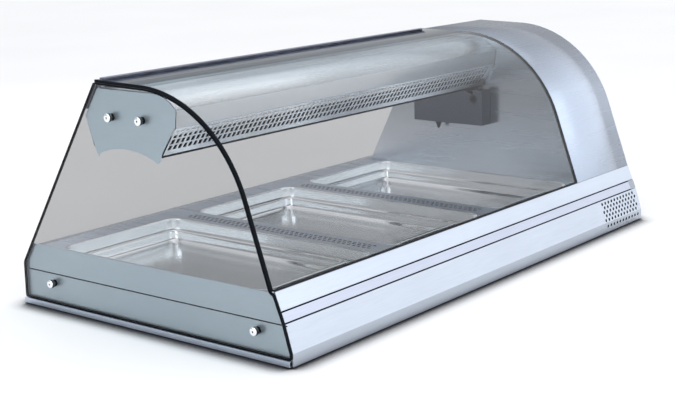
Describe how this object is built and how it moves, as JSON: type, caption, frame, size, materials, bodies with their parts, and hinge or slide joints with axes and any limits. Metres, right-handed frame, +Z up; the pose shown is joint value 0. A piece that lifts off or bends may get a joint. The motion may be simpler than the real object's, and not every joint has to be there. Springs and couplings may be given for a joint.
{
  "type": "hot food display case",
  "caption": "Counter-top heated display case with lift-out pans in stepped wells, curved lifting front glass, open back, heated canopy and end control housing.",
  "frame": {"origin": "centre of the rubber feet's rest plane, under the middle of the case", "axes": "+X along the case towards the control housing, -Y towards the customer's side, +Z up"},
  "size_m": [1.4292, 0.774, 0.515],
  "materials": {
    "steel_body": "fine brushed stainless steel",
    "steel_front": "satin stainless steel, very light",
    "steel_trim": "satin anodised strip",
    "cap_grey": "moulded grey plastic",
    "steel_inner": "satin stainless steel, soft reflections",
    "steel_pressed": "bright pressed stainless steel",
    "steel_canopy": "fine brushed stainless steel",
    "galvanised": "galvanised sheet",
    "pane": "clear toughened glass, ground edges",
    "chrome_cap": "polished",
    "rubber_black": "matt black rubber",
    "hinge_metal": "dark anodised extrusion",
    "plastic_black": "fine textured black plastic",
    "element_dark": "heat-darkened sheath",
    "ceramic": "white glazed ceramic",
    "lamp_glass": "frosted quartz tube",
    "insulation": "mineral wool board",
    "control_white": "moulded light grey plastic",
    "rocker_green": "translucent green rocker",
    "rocker_red": "translucent red rocker",
    "lamp_amber": "amber lens"
  },
  "bodies": {
    "case": {"base_pan": "steel_body", "base_insulation": "insulation", "air_duct_tray": "galvanised", "well_heaters": "element_dark", "rubber_feet": "rubber_black", "left_side_panel": "steel_body", "right_side_panel": "steel_body", "rear_panel": "steel_body", "rear_screws": "chrome_cap", "cable_gland": "plastic_black", "front_lower_panel": "steel_front", "front_trim_strip": "steel_trim", "trim_end_cap": "cap_grey", "front_top_rail": "steel_front", "deck_plate": "steel_body", "rear_ledge": "steel_inner", "well_frame_1": "steel_pressed", "well_frame_2": "steel_pressed", "well_frame_3": "steel_pressed", "side_glass": "pane", "glass_screws": "chrome_cap", "glass_washers": "rubber_black", "glass_rest_seal": "rubber_black", "hinge_blocks": "hinge_metal", "hinge_pins": "chrome_cap", "canopy_shell": "steel_canopy", "canopy_back_plate": "steel_inner", "canopy_end_left": "steel_body", "canopy_end_right": "steel_inner", "canopy_grille": "steel_canopy", "lamp_reflector": "steel_pressed", "heat_lamp_tube": "lamp_glass", "lamp_holders": "ceramic", "canopy_bracket_box": "steel_inner", "probe_cone": "plastic_black", "cable_grommet": "rubber_black", "housing_shell": "steel_body", "housing_inner_wall": "steel_inner", "housing_outer_wall": "steel_body", "housing_rear_panel": "steel_body", "housing_floor": "galvanised", "fan_bracket": "galvanised", "fan_motor": "element_dark", "air_heater_coil": "element_dark", "control_box": "control_white", "thermostat_body": "control_white", "switch_bezel": "plastic_black", "temperature_display": "plastic_black", "pilot_lamp": "lamp_amber"},
    "glass_flap": {"front_glass": "pane", "glass_hinge_bar": "hinge_metal"},
    "pan_1": {"gn_pan_1": "steel_pressed"},
    "pan_2": {"gn_pan_2": "steel_pressed"},
    "pan_3": {"gn_pan_3": "steel_pressed"},
    "knob": {"thermostat_knob": "plastic_black"},
    "power_switch": {"power_rocker": "rocker_green"},
    "light_switch": {"light_rocker": "rocker_red"},
    "fan": {"fan_wheel": "galvanised"}
  },
  "joints": [
    {"name": "glass_tilt", "type": "hinge", "parent": "case", "child": "glass_flap", "pos_m": [0.0046, 0.127, 0.504], "axis": [-1, 0, 0], "range_deg": [0, 70]},
    {"name": "pan_1_lift", "type": "slide", "parent": "case", "child": "pan_1", "axis": [0, 0, 1], "range_m": [0, 0.12]},
    {"name": "pan_2_lift", "type": "slide", "parent": "case", "child": "pan_2", "axis": [0, 0, 1], "range_m": [0, 0.12]},
    {"name": "pan_3_lift", "type": "slide", "parent": "case", "child": "pan_3", "axis": [0, 0, 1], "range_m": [0, 0.12]},
    {"name": "knob_turn", "type": "hinge", "parent": "case", "child": "knob", "pos_m": [0.6446, 0.18062, 0.39848], "axis": [0, 0.8886, 0.4586], "range_deg": [0, 270]},
    {"name": "power_rock", "type": "hinge", "parent": "case", "child": "power_switch", "pos_m": [0.5096, 0.18802, 0.37979], "axis": [1, 0, 0], "range_deg": [-16, 0]},
    {"name": "light_rock", "type": "hinge", "parent": "case", "child": "light_switch", "pos_m": [0.5596, 0.18802, 0.37979], "axis": [1, 0, 0], "range_deg": [-16, 0]},
    {"name": "fan_spin", "type": "hinge", "parent": "case", "child": "fan", "pos_m": [0.5076, 0.055, 0.262], "axis": [1, 0, 0], "continuous": true}
  ]
}
